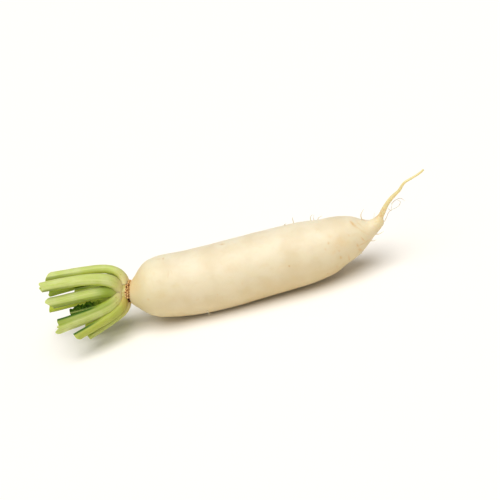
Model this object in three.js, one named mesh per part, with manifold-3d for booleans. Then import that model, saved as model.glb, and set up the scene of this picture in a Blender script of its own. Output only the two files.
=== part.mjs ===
// A daikon radish as pulled and trimmed, lying on its belly: one swollen root with its thin tail and
// side rootlets, the crown that joins root and leaves, the leaf stalks cut to a hand's length, and a
// young leaf left in their middle.
// Millimetres. X runs from the leaf stalks (-X) to the tail (+X), Z is up, the root rests on z = 0.
// The dimensions below are measured from the point where root and crown meet, at x = 0 and y = 0.
import * as THREE from "three";
import { mergeVertices } from "three/addons/utils/BufferGeometryUtils.js";
import Module from "manifold-3d";

const wasm = await Module();
wasm.setup();

const SETTLE = 1.6; // how far the belly is pressed flat where it rests
const ORIGIN = new THREE.Vector3(115.6, -4.4, SETTLE); // under the middle of the whole daikon
const GAP = 0.3; // between neighbouring pieces

const ROOT_SIDES = 24;
const RINGS_PER_SPAN = 2;

// Root outline in the XZ plane, from crown to tail: [top x, top z, belly x, belly z].
const ROOT_OUTLINE = [
  [3.0, 55.1, -2.4, 31.5],
  [8.7, 60.0, 0.8, 27.4],
  [15.8, 66.5, 5.2, 22.7],
  [22.1, 70.2, 9.9, 17.6],
  [28.1, 71.8, 16.9, 12.6],
  [39.1, 72.6, 29.3, 7.8],
  [64.8, 70.7, 61.2, 1.9],
  [105.0, 70.4, 105.0, 0.0],
  [146.4, 70.7, 147.6, 1.9],
  [187.3, 69.5, 190.7, 3.9],
  [209.4, 66.9, 214.6, 8.3],
  [222.0, 66.7, 228.8, 14.9],
  [232.4, 65.5, 243.6, 21.5],
  [242.6, 62.9, 256.0, 30.7],
  [252.0, 57.7, 264.6, 38.0],
  [259.8, 54.5, 271.2, 43.0],
  [266.2, 55.2, 275.6, 47.9],
  [271.6, 58.5, 276.4, 54.2],
];

// Thin tail that the root ends in: [x, y, z, radius].
const TAIL = [
  [276.0, 0.0, 59.2, 2.6],
  [281.2, 0.6, 65.3, 2.4],
  [287.2, 1.0, 71.2, 2.2],
  [293.8, 0.6, 76.2, 1.9],
  [299.2, -0.4, 80.2, 1.6],
  [303.2, -1.0, 84.9, 1.45],
  [307.0, -1.2, 88.0, 1.3],
  [313.0, -0.6, 89.8, 1.15],
  [320.0, 0.4, 91.6, 1.15],
  [325.0, 1.0, 93.4, 1.15],
  [328.4, 1.2, 95.4, 1.0],
];

// Side rootlets: [place along the root from 0 to 1, degrees round it, reach out, run along, radius].
const ROOTLETS = [
  [0.825, 158, 4, 9, 0.42],
  [0.779, 158, 3, 6, 0.42],
  [0.84, -18, 8, 10, 0.5],
  [0.716, 150, 2, 1, 0.42],
  [0.588, -28, 4, 6, 0.42],
  [0.565, -26, 7, 4, 0.42],
  [0.524, -28, 8, 1, 0.42],
  [0.509, -20, 3, 3, 0.42],
  [0.372, 126, 7, 4, 0.42],
];
const ROOTLET_SIDES = 5;
const ROOTLET_WAVE = 0.8; // how far a rootlet sways to either side

// Crown: a short stem on the root's shoulder that leans up a little. The outline is [height, radius].
const CROWN_CENTRE = new THREE.Vector3(0.3, 0, 43.3);
const CROWN_LEAN = THREE.MathUtils.degToRad(13);
const CROWN_SKEW = 0.12; // how far the near side of crown and shoulder lies towards the stalks
const SKEW_FADE = 0.08; // the share of the root's length over which the skew dies out
const CROWN_SIDES = 40;
const CROWN_RINGS = 14;
const CROWN_OUTLINE = [
  [0.0, 11.4],
  [0.9, 12.2],
  [2.2, 12.6],
  [3.6, 12.4],
  [4.8, 12.0],
  [8.0, 11.5],
  [12.0, 10.8],
  [16.0, 8.8],
  [18.5, 5.0],
];
const SCAR_ROWS = [1.4, 3.4]; // heights of the two rings of leaf scars
const SCAR_WIDTH = 0.9;
const SCARS_PER_ROW = 13;
const SCAR_DEPTH = 0.55;

// Leaf stalks. Turn is the place round the crown in degrees, 0 up and 90 towards -Y. A stalk leaves
// the crown at a height and radius, heading steep degrees off the bundle's axis, and bends over so
// many millimetres to its splay. The wings are the leaf's remains at its two margins near the cut. The
// cut is the knife's slant out, then how far the end reaches at five places from margin to margin.
const STALKS = [
  // name, turn, [height, radius], [steep, splay, bend], length, [wide, thick, narrowing], wings, cut
  ["top", -23, [7.3, 9], [97.5, 3.5, 15.6], 91, [13, 10, 0.06], [0.5, 0.5], [-0.5, 0, -1.2, -3, -1.5, 0]],
  ["upper_near", 22, [13.5, 6], [96, 4, 21], 91, [14, 10.5, 0.2], [0, 0.6], [-0.2, -2.5, -1, 1, 0.5, -1.5]],
  ["lower_near", 98.5, [13, 5], [91, 12.6, 13.5], 76, [15, 9.5, 0], [2.5, 0.5], [0.4, 0, 2.5, 3, -2.5, -1]],
  ["under_near", 114, [8, 6], [92, 21.5, 14], 70, [10.5, 8, 0.06], [1.2, 0.4], [0, -7, -3, -1, 0.5, 1]],
  ["bottom", 146, [5.2, 10], [81, 20.4, 9.5], 57, [8.5, 6.8, 0.06], [0.4, 0.4], [0, -4, -2, -0.5, 0.5, 0.5]],
  ["under_far", 178, [6, 9], [84, 8, 13], 60, [11, 8.5, 0.06], [0.6, 0.6], [0.2, -1.5, 0.5, 1, 0, -2]],
  ["lower_far", 204, [6, 8], [90, 6, 14], 68, [12, 8.5, 0.06], [0.6, 0.6], [0, 1.5, 0.5, 0, -1, -3]],
  ["far", 247, [9, 6], [88, 3, 13], 95, [12, 8.5, 0.06], [0.8, 1.2], [0.1, -2.5, -1, 0, 1, 1.5]],
  ["upper_far", 305, [9, 7], [85, -3, 13], 88, [11, 8, 0.06], [0.6, 0.8], [-0.2, -2, 0, 1, 0.5, -1.5]],
  ["inner_near", 49, [15, 5], [80, 0.5, 15.5], 79, [12.4, 9, 0.06], [0.4, 0.4], [0, -5.5, -3, 1, 0.8, -3]],
  ["inner_low", 205, [16.5, 3.5], [60, 0, 9], 34, [8.5, 6.5, 0.06], [0.8, 0.8], [0.2, -1, 0.5, 0.5, 0, -1.5]],
  ["inner_far", 290, [17, 3], [56, 4, 9], 48, [8.5, 7, 0.06], [0.8, 0.8], [0, -1.5, 0.3, 0.8, 0, -2]],
];
const STALK_SIDES = 14;
const STALK_RINGS = 14;
const RING_CROWDING = 1.35; // rings stand closer together where the stalk bends
const BEND_POWER = 1.3;
const BUNDLE_LEAN = THREE.MathUtils.degToRad(1.5);
const BASE_WIDENING = 0.35;
const BASE_THINNING = 0.15;
const BASE_LENGTH = 13;
const CUT_LENGTH = 9; // the part of a stalk that its slanting cut takes in
const OUTSIDE_SHARE = 0.6; // of a stalk's thickness, outside the line through its margins
const GROOVE_DEPTH = 0.26; // as a share of the thickness
const GROOVE_WIDTH = 0.45; // as a share of half the width

// Young leaf in the middle of the bundle: a thin stalk and a folded, lobed blade.
const YOUNG_LEAF = { turn: 165, start: [18, 2], course: [60, 1, 9] };
const LEAF_STALK_LENGTH = 18;
const LEAF_STALK_RADIUS = 1.5;
const LEAF_BLADE_LENGTH = 37;
const LEAF_BLADE_WIDTH = 12;
const LEAF_TWIST = THREE.MathUtils.degToRad(95); // turns the blade to face the near side
const LEAF_THICKNESS = 0.9;
const LEAF_FOLD = 0.55; // how far the blade's halves rise from the rib, per millimetre across
const LEAF_WAVE = 1.2;
const LEAF_RINGS = 16;

const radians = THREE.MathUtils.degToRad;
const ACROSS = new THREE.Vector3(0, 1, 0);

// Shared shapes

const curveThrough = (points) => new THREE.CatmullRomCurve3(points, false, "catmullrom", 0.5);

// A closed body through rings of equal size, with a fan over each end. A thin blade is split into
// triangles alike on both faces when it is mirrored.
function loft(rings, mirrored = false) {
  const sides = rings[0].length;
  const points = [...rings.flat(), middle(rings[0]), middle(rings[rings.length - 1])];
  const index = [];
  for (let i = 0; i < rings.length - 1; i++)
    for (let j = 0; j < sides; j++) {
      const a = i * sides + j;
      const b = i * sides + ((j + 1) % sides);
      if (mirrored && j >= sides / 2) index.push(a, b, a + sides, b, b + sides, a + sides);
      else index.push(a, b, b + sides, a, b + sides, a + sides);
    }
  const last = (rings.length - 1) * sides;
  for (let j = 0; j < sides; j++) {
    const next = (j + 1) % sides;
    index.push(points.length - 2, next, j, points.length - 1, last + j, last + next);
  }
  const geometry = new THREE.BufferGeometry().setFromPoints(points);
  geometry.setIndex(index);
  return solidFacingOut(geometry);
}

function middle(ring) {
  return ring.reduce((sum, p) => sum.add(p), new THREE.Vector3()).divideScalar(ring.length);
}

function solidFacingOut(geometry) {
  const merged = mergeVertices(geometry, 1e-4);
  const vertProperties = merged.attributes.position.array;
  const triVerts = new Uint32Array(merged.index.array);
  const made = new wasm.Manifold(new wasm.Mesh({ numProp: 3, vertProperties, triVerts }));
  if (made.volume() > 0) return made;
  const turned = triVerts.slice();
  for (let i = 0; i < turned.length; i += 3) [turned[i], turned[i + 1]] = [turned[i + 1], turned[i]];
  return new wasm.Manifold(new wasm.Mesh({ numProp: 3, vertProperties, triVerts: turned }));
}

// A solid as a geometry, without any loose scrap that a cut left.
function largestBody(whole) {
  const bodies = whole.decompose().sort((a, b) => b.volume() - a.volume());
  const mesh = bodies[0].getMesh();
  const geometry = new THREE.BufferGeometry();
  geometry.setAttribute("position", new THREE.BufferAttribute(mesh.vertProperties, 3));
  geometry.setIndex(new THREE.BufferAttribute(mesh.triVerts, 1));
  return geometry;
}

// A round ring.
function ring(centre, up, side, radius, sides) {
  return Array.from({ length: sides }, (_, k) => {
    const turn = (2 * Math.PI * k) / sides;
    const out = up.clone().multiplyScalar(Math.cos(turn)).addScaledVector(side, Math.sin(turn));
    return out.multiplyScalar(radius).add(centre);
  });
}

// Rings along a curve, kept upright by one side direction.
function ringsAlong(curve, radiusAt, steps, sides) {
  return Array.from({ length: steps + 1 }, (_, i) => {
    const along = curve.getTangent(i / steps);
    const up = new THREE.Vector3().crossVectors(along, ACROSS).normalize();
    const side = new THREE.Vector3().crossVectors(up, along).normalize();
    return ring(curve.getPoint(i / steps), up, side, radiusAt(i / steps), sides);
  });
}

// Root

const topLine = curveThrough(ROOT_OUTLINE.map(([x, z]) => new THREE.Vector3(x, 0, z)));
const bellyLine = curveThrough(ROOT_OUTLINE.map(([, , x, z]) => new THREE.Vector3(x, 0, z)));

// The root's centre, radius and up direction, from 0 at the crown to 1 at the neck of the tail.
function rootAt(place) {
  const top = topLine.getPoint(place);
  const belly = bellyLine.getPoint(place);
  const up = top.clone().sub(belly);
  return { centre: top.add(belly).multiplyScalar(0.5), radius: up.length() / 2, up: up.normalize() };
}

function skewed(points, share) {
  for (const point of points) point.x += CROWN_SKEW * share * point.y;
  return points;
}

function rootAndTail() {
  const spans = (ROOT_OUTLINE.length - 1) * RINGS_PER_SPAN;
  const swollen = Array.from({ length: spans + 1 }, (_, i) => {
    const place = i / spans;
    const { centre, radius, up } = rootAt(place);
    return skewed(ring(centre, up, ACROSS, radius, ROOT_SIDES), Math.exp(-((place / SKEW_FADE) ** 2)));
  });
  const tailCurve = curveThrough(TAIL.map(([x, y, z]) => new THREE.Vector3(x, y, z)));
  const radii = curveThrough(TAIL.map(([, , , radius], i) => new THREE.Vector3(i, radius, 0)));
  const steps = (TAIL.length - 1) * RINGS_PER_SPAN;
  const thin = ringsAlong(tailCurve, (t) => radii.getPoint(t).y, steps, ROOT_SIDES);
  const rings = [...swollen, ...thin];
  for (const point of rings.flat()) point.z = Math.max(SETTLE, point.z);
  return loft(rings);
}

function rootlet([place, turnDegrees, reach, run, radius]) {
  const { centre, radius: rootRadius, up } = rootAt(place);
  const turn = radians(turnDegrees);
  const out = up.clone().multiplyScalar(Math.cos(turn)).addScaledVector(ACROSS, -Math.sin(turn));
  const along = new THREE.Vector3().crossVectors(ACROSS, up).normalize();
  const start = centre.clone().addScaledVector(out, rootRadius - 3 * radius);
  const route = [0, 0.2, 0.45, 0.7, 1].map((s) =>
    start
      .clone()
      .addScaledVector(out, reach * Math.sin(1.4 * s))
      .addScaledVector(along, run * s * s)
      .addScaledVector(ACROSS, ROOTLET_WAVE * Math.sin(5 * s)),
  );
  return loft(ringsAlong(curveThrough(route), (t) => radius * (1 - 0.3 * t), 8, ROOTLET_SIDES));
}

// Crown

const crownAxis = new THREE.Vector3(-Math.cos(CROWN_LEAN), 0, Math.sin(CROWN_LEAN));
const crownUp = new THREE.Vector3(Math.sin(CROWN_LEAN), 0, Math.cos(CROWN_LEAN));

function crownOut(turn) {
  return crownUp.clone().multiplyScalar(Math.cos(turn)).addScaledVector(ACROSS, -Math.sin(turn));
}

// Pits and rims of the leaf scars, in two staggered rings.
function scarRelief(height, turn) {
  const rows = SCAR_ROWS.map((row, i) => {
    const nearness = Math.exp(-(((height - row) / SCAR_WIDTH) ** 2));
    return nearness * Math.cos(SCARS_PER_ROW * turn + i * Math.PI);
  });
  return SCAR_DEPTH * (rows[0] + rows[1]);
}

// The crown, grown outwards by a margin when it is used to cut its neighbours.
function crown(margin = 0) {
  const outline = curveThrough(CROWN_OUTLINE.map(([height, radius]) => new THREE.Vector3(height, radius, 0)));
  const stretch = 1 + (2 * margin) / CROWN_OUTLINE.at(-1)[0];
  const rings = Array.from({ length: CROWN_RINGS + 1 }, (_, i) => {
    const { x: height, y: radius } = outline.getPoint(i / CROWN_RINGS);
    const centre = CROWN_CENTRE.clone().addScaledVector(crownAxis, GAP - margin + height * stretch);
    const points = Array.from({ length: CROWN_SIDES }, (_, k) => {
      const turn = (2 * Math.PI * k) / CROWN_SIDES;
      const reach = radius + margin + scarRelief(height, turn);
      return crownOut(turn).multiplyScalar(reach).add(centre);
    });
    return skewed(points, 1);
  });
  return loft(rings);
}

// Leaf stalks

const bundleAxis = new THREE.Vector3(-Math.cos(BUNDLE_LEAN), 0, Math.sin(BUNDLE_LEAN));
const bundleUp = new THREE.Vector3(Math.sin(BUNDLE_LEAN), 0, Math.cos(BUNDLE_LEAN));

// Centre line of a stalk as a list of {distance, at, along, out}.
function stalkPath(turnDegrees, [height, radius], [steep, splay, bend], length, steps) {
  const turn = radians(turnDegrees);
  const side = bundleUp.clone().multiplyScalar(Math.cos(turn)).addScaledVector(ACROSS, -Math.sin(turn));
  const headingAt = (distance) => {
    const tip = radians(splay + (steep - splay) * Math.exp(-((distance / bend) ** BEND_POWER)));
    const along = bundleAxis.clone().multiplyScalar(Math.cos(tip)).addScaledVector(side, Math.sin(tip));
    const out = side.clone().multiplyScalar(Math.cos(tip)).addScaledVector(bundleAxis, -Math.sin(tip));
    return { along, out };
  };
  const distanceAt = (i) => length * (i / steps) ** RING_CROWDING;
  const substeps = 8;
  const at = CROWN_CENTRE.clone().addScaledVector(crownAxis, height).addScaledVector(crownOut(turn), radius);
  const path = [];
  for (let i = 0; i <= steps; i++) {
    const distance = distanceAt(i);
    path.push({ distance, at: at.clone(), ...headingAt(distance) });
    const stride = (distanceAt(i + 1) - distance) / substeps;
    for (let k = 0; k < substeps; k++) {
      const { along } = headingAt(distance + (k + 0.5) * stride);
      at.addScaledVector(along, stride);
    }
  }
  return path;
}

// A point of a stalk's section: round outside, with a shallow groove along the inside and a thin wing
// at each margin.
function stalkSection(turn, wide, thick, [upperWing, lowerWing]) {
  const c = Math.cos(turn);
  const s = Math.sin(turn);
  const wing = c ** 8 * (c > 0 ? upperWing : lowerWing);
  const groove = GROOVE_DEPTH * Math.exp(-((c / GROOVE_WIDTH) ** 2)) * Math.abs(s);
  const outside = OUTSIDE_SHARE * Math.max(s, 0) ** 0.9;
  const inside = s < 0 ? (1 - OUTSIDE_SHARE) * Math.abs(s) ** 0.7 - groove : 0;
  return { across: (wide / 2) * c + Math.sign(c) * wing, out: thick * (outside - inside) };
}

// A stalk, grown outwards by a margin when it is used to cut its neighbours.
function stalk(row, margin = 0) {
  const [, turnDegrees, start, course, length, [wide, thick, narrowing], wings, cut] = row;
  const [slant, ...reaches] = cut;
  const path = stalkPath(turnDegrees, start, course, length, STALK_RINGS);
  const reachLine = curveThrough(reaches.map((reach, i) => new THREE.Vector3(i, reach, 0)));
  const rings = path.map(({ distance, at, along, out }) => {
    const share = distance / length;
    const base = Math.exp(-distance / BASE_LENGTH);
    const taper = 1 - narrowing * share;
    const width = wide * (1 + BASE_WIDENING * base) * taper + 2 * margin;
    const thickness = thick * (1 - BASE_THINNING * base) * taper + 2 * margin;
    const wingsHere = wings.map((wing) => wing * share ** 3);
    const side = new THREE.Vector3().crossVectors(along, out);
    const nearEnd = Math.max(0, 1 + (distance - length) / CUT_LENGTH);
    return Array.from({ length: STALK_SIDES }, (_, k) => {
      const turn = (2 * Math.PI * k) / STALK_SIDES;
      const point = stalkSection(turn, width, thickness, wingsHere);
      const reach = reachLine.getPoint((Math.cos(turn) + 1) / 2).y;
      return at
        .clone()
        .addScaledVector(side, point.across)
        .addScaledVector(out, point.out)
        .addScaledVector(along, nearEnd * (reach + slant * point.out + margin));
    });
  });
  return loft(rings);
}

// Young leaf

function youngLeaf() {
  const length = LEAF_STALK_LENGTH + LEAF_BLADE_LENGTH;
  const path = stalkPath(YOUNG_LEAF.turn, YOUNG_LEAF.start, YOUNG_LEAF.course, length, LEAF_RINGS);
  const places = [-1, -0.5, 0, 0.5, 1];
  const rings = path.map(({ distance, at, along, out: outward }) => {
    const out = outward.clone().applyAxisAngle(along, LEAF_TWIST);
    const side = new THREE.Vector3().crossVectors(along, out);
    const rib = LEAF_STALK_RADIUS * (1 - 0.5 * (distance / length));
    const onBlade = (distance - LEAF_STALK_LENGTH) / LEAF_BLADE_LENGTH;
    const isBlade = onBlade > 0;
    const swell = Math.sin(Math.PI * (0.62 * onBlade + 0.2));
    const lobes = 1 + 0.12 * Math.sin(19 * onBlade);
    const half = isBlade ? Math.max(rib, (LEAF_BLADE_WIDTH / 2) * swell ** 0.7 * lobes) : rib;
    const fold = isBlade ? LEAF_FOLD * half : 0;
    const wave = isBlade ? LEAF_WAVE * Math.sin(0.8 * distance) : 0;
    const point = (place, face) => {
      const skin = isBlade ? LEAF_THICKNESS / 2 : rib * Math.sqrt(1 - 0.9 * place * place);
      const ridge = place === 0 && face < 0 ? 0.6 * rib : 0;
      const rise = fold * Math.abs(place) + wave * place * Math.abs(place) + face * skin - ridge;
      return at.clone().addScaledVector(side, place * half).addScaledVector(out, -rise);
    };
    const upper = places.map((place) => point(place, 1));
    const under = places.toReversed().map((place) => point(place, -1));
    return [...upper, ...under];
  });
  return loft(rings, true);
}

// Assembly

const finish = (color, roughness) => new THREE.MeshStandardMaterial({ color, roughness, metalness: 0 });
const skin = finish(0xf6ead0, 0.45);
const cork = finish(0xa9824f, 0.85);
const stalkGreen = finish(0xc3cf7c, 0.5);
const leafGreen = finish(0x4f8423, 0.6);

const daikon = new THREE.Group();
daikon.position.copy(ORIGIN).negate();

function addPiece(name, whole, material) {
  const geometry = largestBody(whole);
  geometry.computeVertexNormals();
  const mesh = new THREE.Mesh(geometry, material);
  mesh.name = name;
  daikon.add(mesh);
}

addPiece("root", ROOTLETS.reduce((whole, row) => whole.add(rootlet(row)), rootAndTail()), skin);
addPiece("crown", crown(), cork);

// Each stalk gives way to the crown and to the stalks listed before it.
let taken = crown(GAP);
for (const row of STALKS) {
  addPiece("stalk_" + row[0], stalk(row).subtract(taken), stalkGreen);
  taken = taken.add(stalk(row, GAP));
}
addPiece("young_leaf", youngLeaf().subtract(taken), leafGreen);

export default daikon;
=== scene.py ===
# A whole daikon radish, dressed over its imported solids: fine skin, corky crown, ribbed leaf stalks,
# a crinkled young leaf and hair-thin rootlets, on a pale floor in soft light.
# Shapes are in millimetres, measured as in the part's source from where root and crown meet. Blender's
# objects are in metres in the part's own frame.
import math
import random
import bmesh
import bpy
import numpy as np
from mathutils import Matrix, Vector, noise


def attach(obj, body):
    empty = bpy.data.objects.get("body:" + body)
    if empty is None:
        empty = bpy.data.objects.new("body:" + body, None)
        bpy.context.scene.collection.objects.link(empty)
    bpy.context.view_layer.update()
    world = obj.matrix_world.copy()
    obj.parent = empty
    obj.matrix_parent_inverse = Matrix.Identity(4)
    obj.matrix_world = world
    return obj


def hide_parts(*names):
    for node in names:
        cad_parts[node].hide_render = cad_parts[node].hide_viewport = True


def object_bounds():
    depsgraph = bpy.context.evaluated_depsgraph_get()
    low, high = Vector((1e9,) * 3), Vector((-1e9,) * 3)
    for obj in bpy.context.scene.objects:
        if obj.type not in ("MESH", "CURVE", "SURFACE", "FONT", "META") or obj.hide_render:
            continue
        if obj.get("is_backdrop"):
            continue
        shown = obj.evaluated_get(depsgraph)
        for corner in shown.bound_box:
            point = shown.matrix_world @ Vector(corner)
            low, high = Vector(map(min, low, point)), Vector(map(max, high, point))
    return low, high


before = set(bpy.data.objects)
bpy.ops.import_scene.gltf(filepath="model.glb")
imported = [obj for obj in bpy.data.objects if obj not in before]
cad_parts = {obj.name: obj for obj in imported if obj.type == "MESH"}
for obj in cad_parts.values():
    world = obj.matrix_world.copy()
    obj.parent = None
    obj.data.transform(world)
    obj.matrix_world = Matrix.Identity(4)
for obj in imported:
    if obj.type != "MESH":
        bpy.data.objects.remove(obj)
cad_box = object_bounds()

MM = 0.001
SETTLE = 1.6  # how far the belly is pressed flat where it rests
ORIGIN = np.array((115.6, -4.4, SETTLE))
ACROSS = np.array((0.0, 1.0, 0.0))
BODY = "root"

# Camera: the photograph's view. The aim is a point of the root, and where the photograph shows it.
PICTURE = 500
MM_PER_PIXEL = 1.05
CAMERA_DISTANCE = 1500
AZIMUTH, ELEVATION, ROLL = (math.radians(angle) for angle in (7.5, 28, 18))
AIM = Vector((19.4, 4.4, 35.0))
AIM_PIXEL = (256, 265.5)


def photo_camera():
    back = Vector((
        math.sin(AZIMUTH) * math.cos(ELEVATION),
        -math.cos(AZIMUTH) * math.cos(ELEVATION),
        math.sin(ELEVATION),
    ))
    level = Vector((math.cos(AZIMUTH), math.sin(AZIMUTH), 0))
    upright = back.cross(level)
    right = level * math.cos(ROLL) - upright * math.sin(ROLL)
    up = level * math.sin(ROLL) + upright * math.cos(ROLL)
    to_middle = right * (PICTURE / 2 - AIM_PIXEL[0]) + up * (AIM_PIXEL[1] - PICTURE / 2)
    place = AIM + to_middle * MM_PER_PIXEL + back * CAMERA_DISTANCE
    camera = bpy.data.objects.new("camera", bpy.data.cameras.new("camera"))
    camera.data.lens = camera.data.sensor_width * CAMERA_DISTANCE / (PICTURE * MM_PER_PIXEL)
    turned = Matrix((right, up, back)).transposed().to_4x4()
    camera.matrix_world = Matrix.Translation(place * MM) @ turned
    bpy.context.collection.objects.link(camera)
    bpy.context.scene.camera = camera


photo_camera()


# Curves and lofts


def curve(points, t):
    """A smooth line through points, at each t from 0 to 1, with t spread evenly over the points."""
    points = np.asarray(points, float)
    before = 2 * points[0] - points[1]
    after = 2 * points[-1] - points[-2]
    points = np.vstack([before, points, after])
    at = np.clip(np.asarray(t, float), 0, 1) * (len(points) - 3)
    i = np.minimum(at.astype(int), len(points) - 4)
    s = (at - i)[..., None]
    p0, p1, p2, p3 = (points[i + k] for k in range(4))
    leave = (p2 - p0) / 2
    arrive = (p3 - p1) / 2
    cubic = 2 * p1 - 2 * p2 + leave + arrive
    square = 3 * p2 - 3 * p1 - 2 * leave - arrive
    return ((cubic * s + square) * s + leave) * s + p1


def unit(vectors):
    return vectors / np.linalg.norm(vectors, axis=-1, keepdims=True)


def rumple(points, size, seed=0):
    """Smooth noise from -1 to 1 at each point, with features of that size in millimetres."""
    size = np.broadcast_to(size, 3)
    flat = np.asarray(points).reshape(-1, 3) / size + 17.3 * seed
    return np.array([noise.noise(p) for p in flat.tolist()]).reshape(np.shape(points)[:-1])


def near(value, middle, width):
    """1 at the middle, falling off smoothly over a width."""
    return np.exp(-(((value - middle) / width) ** 2))


def rise(value, start, end):
    """0 before start, 1 after end, smooth between."""
    s = np.clip((value - start) / (end - start), 0, 1)
    return s * s * (3 - 2 * s)


def loft(rings, fields=None):
    """A closed body through rings, with a fan over each end: its points, its faces, and each field's
    value at every face corner. A field has one value more than a ring has sides, so that it may run
    on where the ring closes."""
    count, sides = rings.shape[:2]
    points = np.vstack([rings.reshape(-1, 3), rings[0].mean(0), rings[-1].mean(0)])
    i, j = (axis.ravel() for axis in np.meshgrid(range(count - 1), range(sides), indexing="ij"))
    following = (j + 1) % sides
    above = (i + 1) * sides
    quads = np.stack([i * sides + j, i * sides + following, above + following, above + j], 1)
    k = np.arange(sides)
    turned = (k + 1) % sides
    last = (count - 1) * sides
    first_fan = np.stack([np.full(sides, count * sides), turned, k], 1)
    last_fan = np.stack([np.full(sides, count * sides + 1), last + k, last + turned], 1)
    corners = {}
    for name, field in (fields or {}).items():
        middle_first = np.repeat(field[0].mean(0)[None], sides, 0)
        middle_last = np.repeat(field[-1].mean(0)[None], sides, 0)
        corners[name] = [
            np.stack([field[i, j], field[i, j + 1], field[i + 1, j + 1], field[i + 1, j]], 1),
            np.stack([middle_first, field[0, k + 1], field[0, k]], 1),
            np.stack([middle_last, field[-1, k], field[-1, k + 1]], 1),
        ]
    faces = [quads, first_fan, last_fan]
    if signed_volume(points, faces) < 0:
        faces = [group[:, ::-1] for group in faces]
        corners = {name: [group[:, ::-1] for group in groups] for name, groups in corners.items()}
    return points, faces, corners


def signed_volume(points, faces):
    total = 0
    for group in faces:
        for k in range(1, group.shape[1] - 1):
            a, b, c = (points[group[:, n]] for n in (0, k, k + 1))
            total += np.einsum("ij,ij->", a, np.cross(b, c))
    return total


def piece(name, bodies, material=None):
    """One object from lofted bodies, in the part's frame, in metres."""
    points = []
    faces = []
    corners = {}
    for body_points, body_faces, body_corners in bodies:
        start = sum(len(p) for p in points)
        points.append(body_points)
        for group in body_faces:
            faces.extend((group + start).tolist())
        for key, groups in body_corners.items():
            flat = [group.reshape(-1, 3) for group in groups]
            corners.setdefault(key, []).extend(flat)
    mesh = bpy.data.meshes.new(name)
    mesh.from_pydata((np.vstack(points) - ORIGIN) * MM, [], faces)
    for key, groups in corners.items():
        field = mesh.attributes.new(key, "FLOAT_VECTOR", "CORNER")
        field.data.foreach_set("vector", np.vstack(groups).astype(np.float32).ravel())
    mesh.shade_smooth()
    obj = bpy.data.objects.new(name, mesh)
    bpy.context.collection.objects.link(obj)
    if material:
        mesh.materials.append(material)
    return obj


def tube(route, radii, sides, steps):
    """Rings along a smooth route, kept upright by one side direction."""
    t = np.linspace(0, 1, steps + 1)
    at = curve(route, t)
    radius = curve(np.array(radii, float)[:, None], t)
    along = unit(np.gradient(at, axis=0))
    up = unit(np.cross(along, ACROSS))
    side = np.cross(up, along)
    turn = np.linspace(0, 2 * np.pi, sides, endpoint=False)[None, :, None]
    out = up[:, None] * np.cos(turn) + side[:, None] * np.sin(turn)
    return at[:, None] + out * radius[:, None]


# Materials


def srgb(red, green, blue):
    """A colour as a picture shows it, 0 to 255, as Blender's linear colour."""
    shares = [value / 255 for value in (red, green, blue)]
    linear = [s / 12.92 if s < 0.04045 else ((s + 0.055) / 1.055) ** 2.4 for s in shares]
    return (*linear, 1)


class Shader:
    """A material's nodes, with short calls for the kinds that are used here."""

    def __init__(self, name, **sockets):
        self.material = bpy.data.materials.new(name)
        self.material.use_nodes = True
        self.tree = self.material.node_tree
        self.main = self.tree.nodes["Principled BSDF"]
        for socket, value in sockets.items():
            self.main.inputs[socket.replace("_", " ")].default_value = value
        self.place = self.node("TexCoord").outputs["Object"]

    def node(self, kind, inputs=None, **settings):
        made = self.tree.nodes.new("ShaderNode" + kind)
        for key, value in settings.items():
            setattr(made, key, value)
        for key, value in (inputs or {}).items():
            self.put(made.inputs[key], value)
        return made

    def put(self, socket, value):
        if isinstance(value, bpy.types.NodeSocket):
            self.tree.links.new(value, socket)
        else:
            socket.default_value = value

    def field(self, name):
        """The three parts of a mesh attribute."""
        made = self.node("Attribute", attribute_name=name)
        return self.node("SeparateXYZ", {0: made.outputs["Vector"]}).outputs

    def calc(self, operation, a, b=0.0, clamp=False):
        made = self.node("Math", {0: a, 1: b}, operation=operation, use_clamp=clamp)
        return made.outputs[0]

    def ramp(self, value, start, end, low=0.0, high=1.0):
        """low before start, high after end, smooth between."""
        inputs = {0: value, 1: start, 2: end, 3: low, 4: high}
        return self.node("MapRange", inputs, interpolation_type="SMOOTHSTEP").outputs[0]

    def grain(self, size, vector=None, detail=2.0, roughness=0.5, distortion=0.0, unit_size=1000):
        """Noise from 0 to 1 with features of that size in millimetres, one number or three."""
        scale = [unit_size / part for part in np.broadcast_to(size, 3)]
        at = self.node("Mapping", {"Vector": vector or self.place, "Scale": scale}).outputs[0]
        inputs = {
            "Vector": at,
            "Scale": 1.0,
            "Detail": detail,
            "Roughness": roughness,
            "Distortion": distortion,
        }
        return self.node("TexNoise", inputs).outputs[0]

    def mix(self, factor, first, second):
        made = self.tree.nodes.new("ShaderNodeMix")
        made.data_type = "RGBA"
        self.put(made.inputs[0], factor)
        self.put(made.inputs[6], first)
        self.put(made.inputs[7], second)
        return made.outputs[2]

    def bump(self, height, distance, strength=1.0, normal=None):
        inputs = {"Height": height, "Distance": distance, "Strength": strength}
        if normal:
            inputs["Normal"] = normal
        return self.node("Bump", inputs).outputs[0]


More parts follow.
